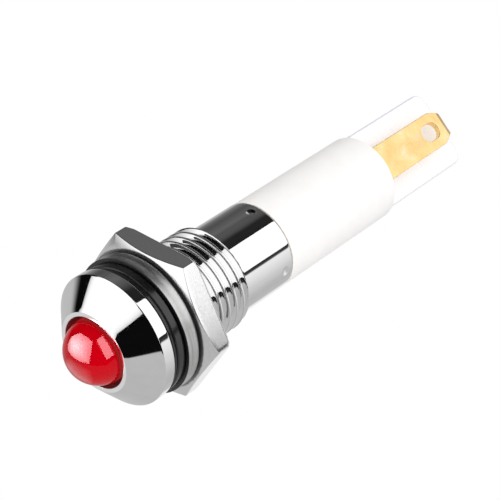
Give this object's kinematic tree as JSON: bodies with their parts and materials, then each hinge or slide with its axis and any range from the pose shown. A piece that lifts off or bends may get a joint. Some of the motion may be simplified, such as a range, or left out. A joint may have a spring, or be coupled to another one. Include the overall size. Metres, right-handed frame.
{
  "type": "panel pilot light",
  "caption": "Panel-mounted indicator light: domed lens in a polished conical bezel on a threaded shank, with gasket, washer, hexagon nut, insulated rear tube and flat terminals.",
  "frame": {"origin": "on the light's axis, in the plane of the panel's front surface, where the gasket ends", "axes": "+Y along the axis towards the rear terminals, so the lens looks to -Y; +Z square to the flat faces of the divider plate and the terminal blades; +X across the blades"},
  "size_m": [0.0122, 0.0413, 0.0124],
  "materials": {
    "chrome": "polished chrome plating on brass",
    "red_lens": "glossy diffused red epoxy",
    "rubber": "matt black nitrile rubber",
    "washer_metal": "turned and plated, fine circular lay",
    "nut_metal": "bright nickel plating, finely grained",
    "white_tube": "smooth warm white polyamide",
    "white_plate": "smooth white plastic sheet",
    "gold_contact": "pale gold plating, slightly mottled",
    "tinned_wire": "bright tinned wire",
    "resistor_lacquer": "pale blue lacquer",
    "diode_glass": "amber glass envelope",
    "carrier_plastic": "natural moulded plastic",
    "sleeve_red": "red shrink sleeve",
    "sleeve_black": "black shrink sleeve",
    "solder_metal": "bright solder",
    "resin": "cast off-white resin"
  },
  "bodies": {
    "light": {"bezel": "chrome", "led_lens": "red_lens", "led_seal": "rubber", "led_retainer": "carrier_plastic", "led_anode_lead": "tinned_wire", "led_cathode_lead": "tinned_wire", "panel_gasket": "rubber", "rear_tube": "white_tube", "divider": "white_plate", "terminal_upper": "gold_contact", "terminal_lower": "gold_contact", "resistor_body": "resistor_lacquer", "resistor_lead_front": "tinned_wire", "resistor_lead_rear": "tinned_wire", "diode_body": "diode_glass", "diode_lead_front": "tinned_wire", "diode_lead_rear": "tinned_wire", "anode_sleeve": "sleeve_red", "cathode_sleeve": "sleeve_black", "solder_upper": "solder_metal", "solder_lower": "solder_metal", "potting_upper": "resin", "potting_lower": "resin"},
    "washer": {"washer": "washer_metal"},
    "nut": {"hex_nut": "nut_metal"}
  },
  "joints": [
    {"name": "washer_slide", "type": "slide", "parent": "light", "child": "washer", "axis": [0, 1, 0], "range_m": [0, 0.0066]},
    {"name": "nut_spin", "type": "hinge", "parent": "washer", "child": "nut", "pos_m": [0, 0.0021, 0], "axis": [0, 1, 0], "range_deg": [0, 3168]}
  ],
  "couplings": [
    {"joint": "washer_slide", "follows": "nut_spin", "m_per_rad": 0.00011937}
  ]
}
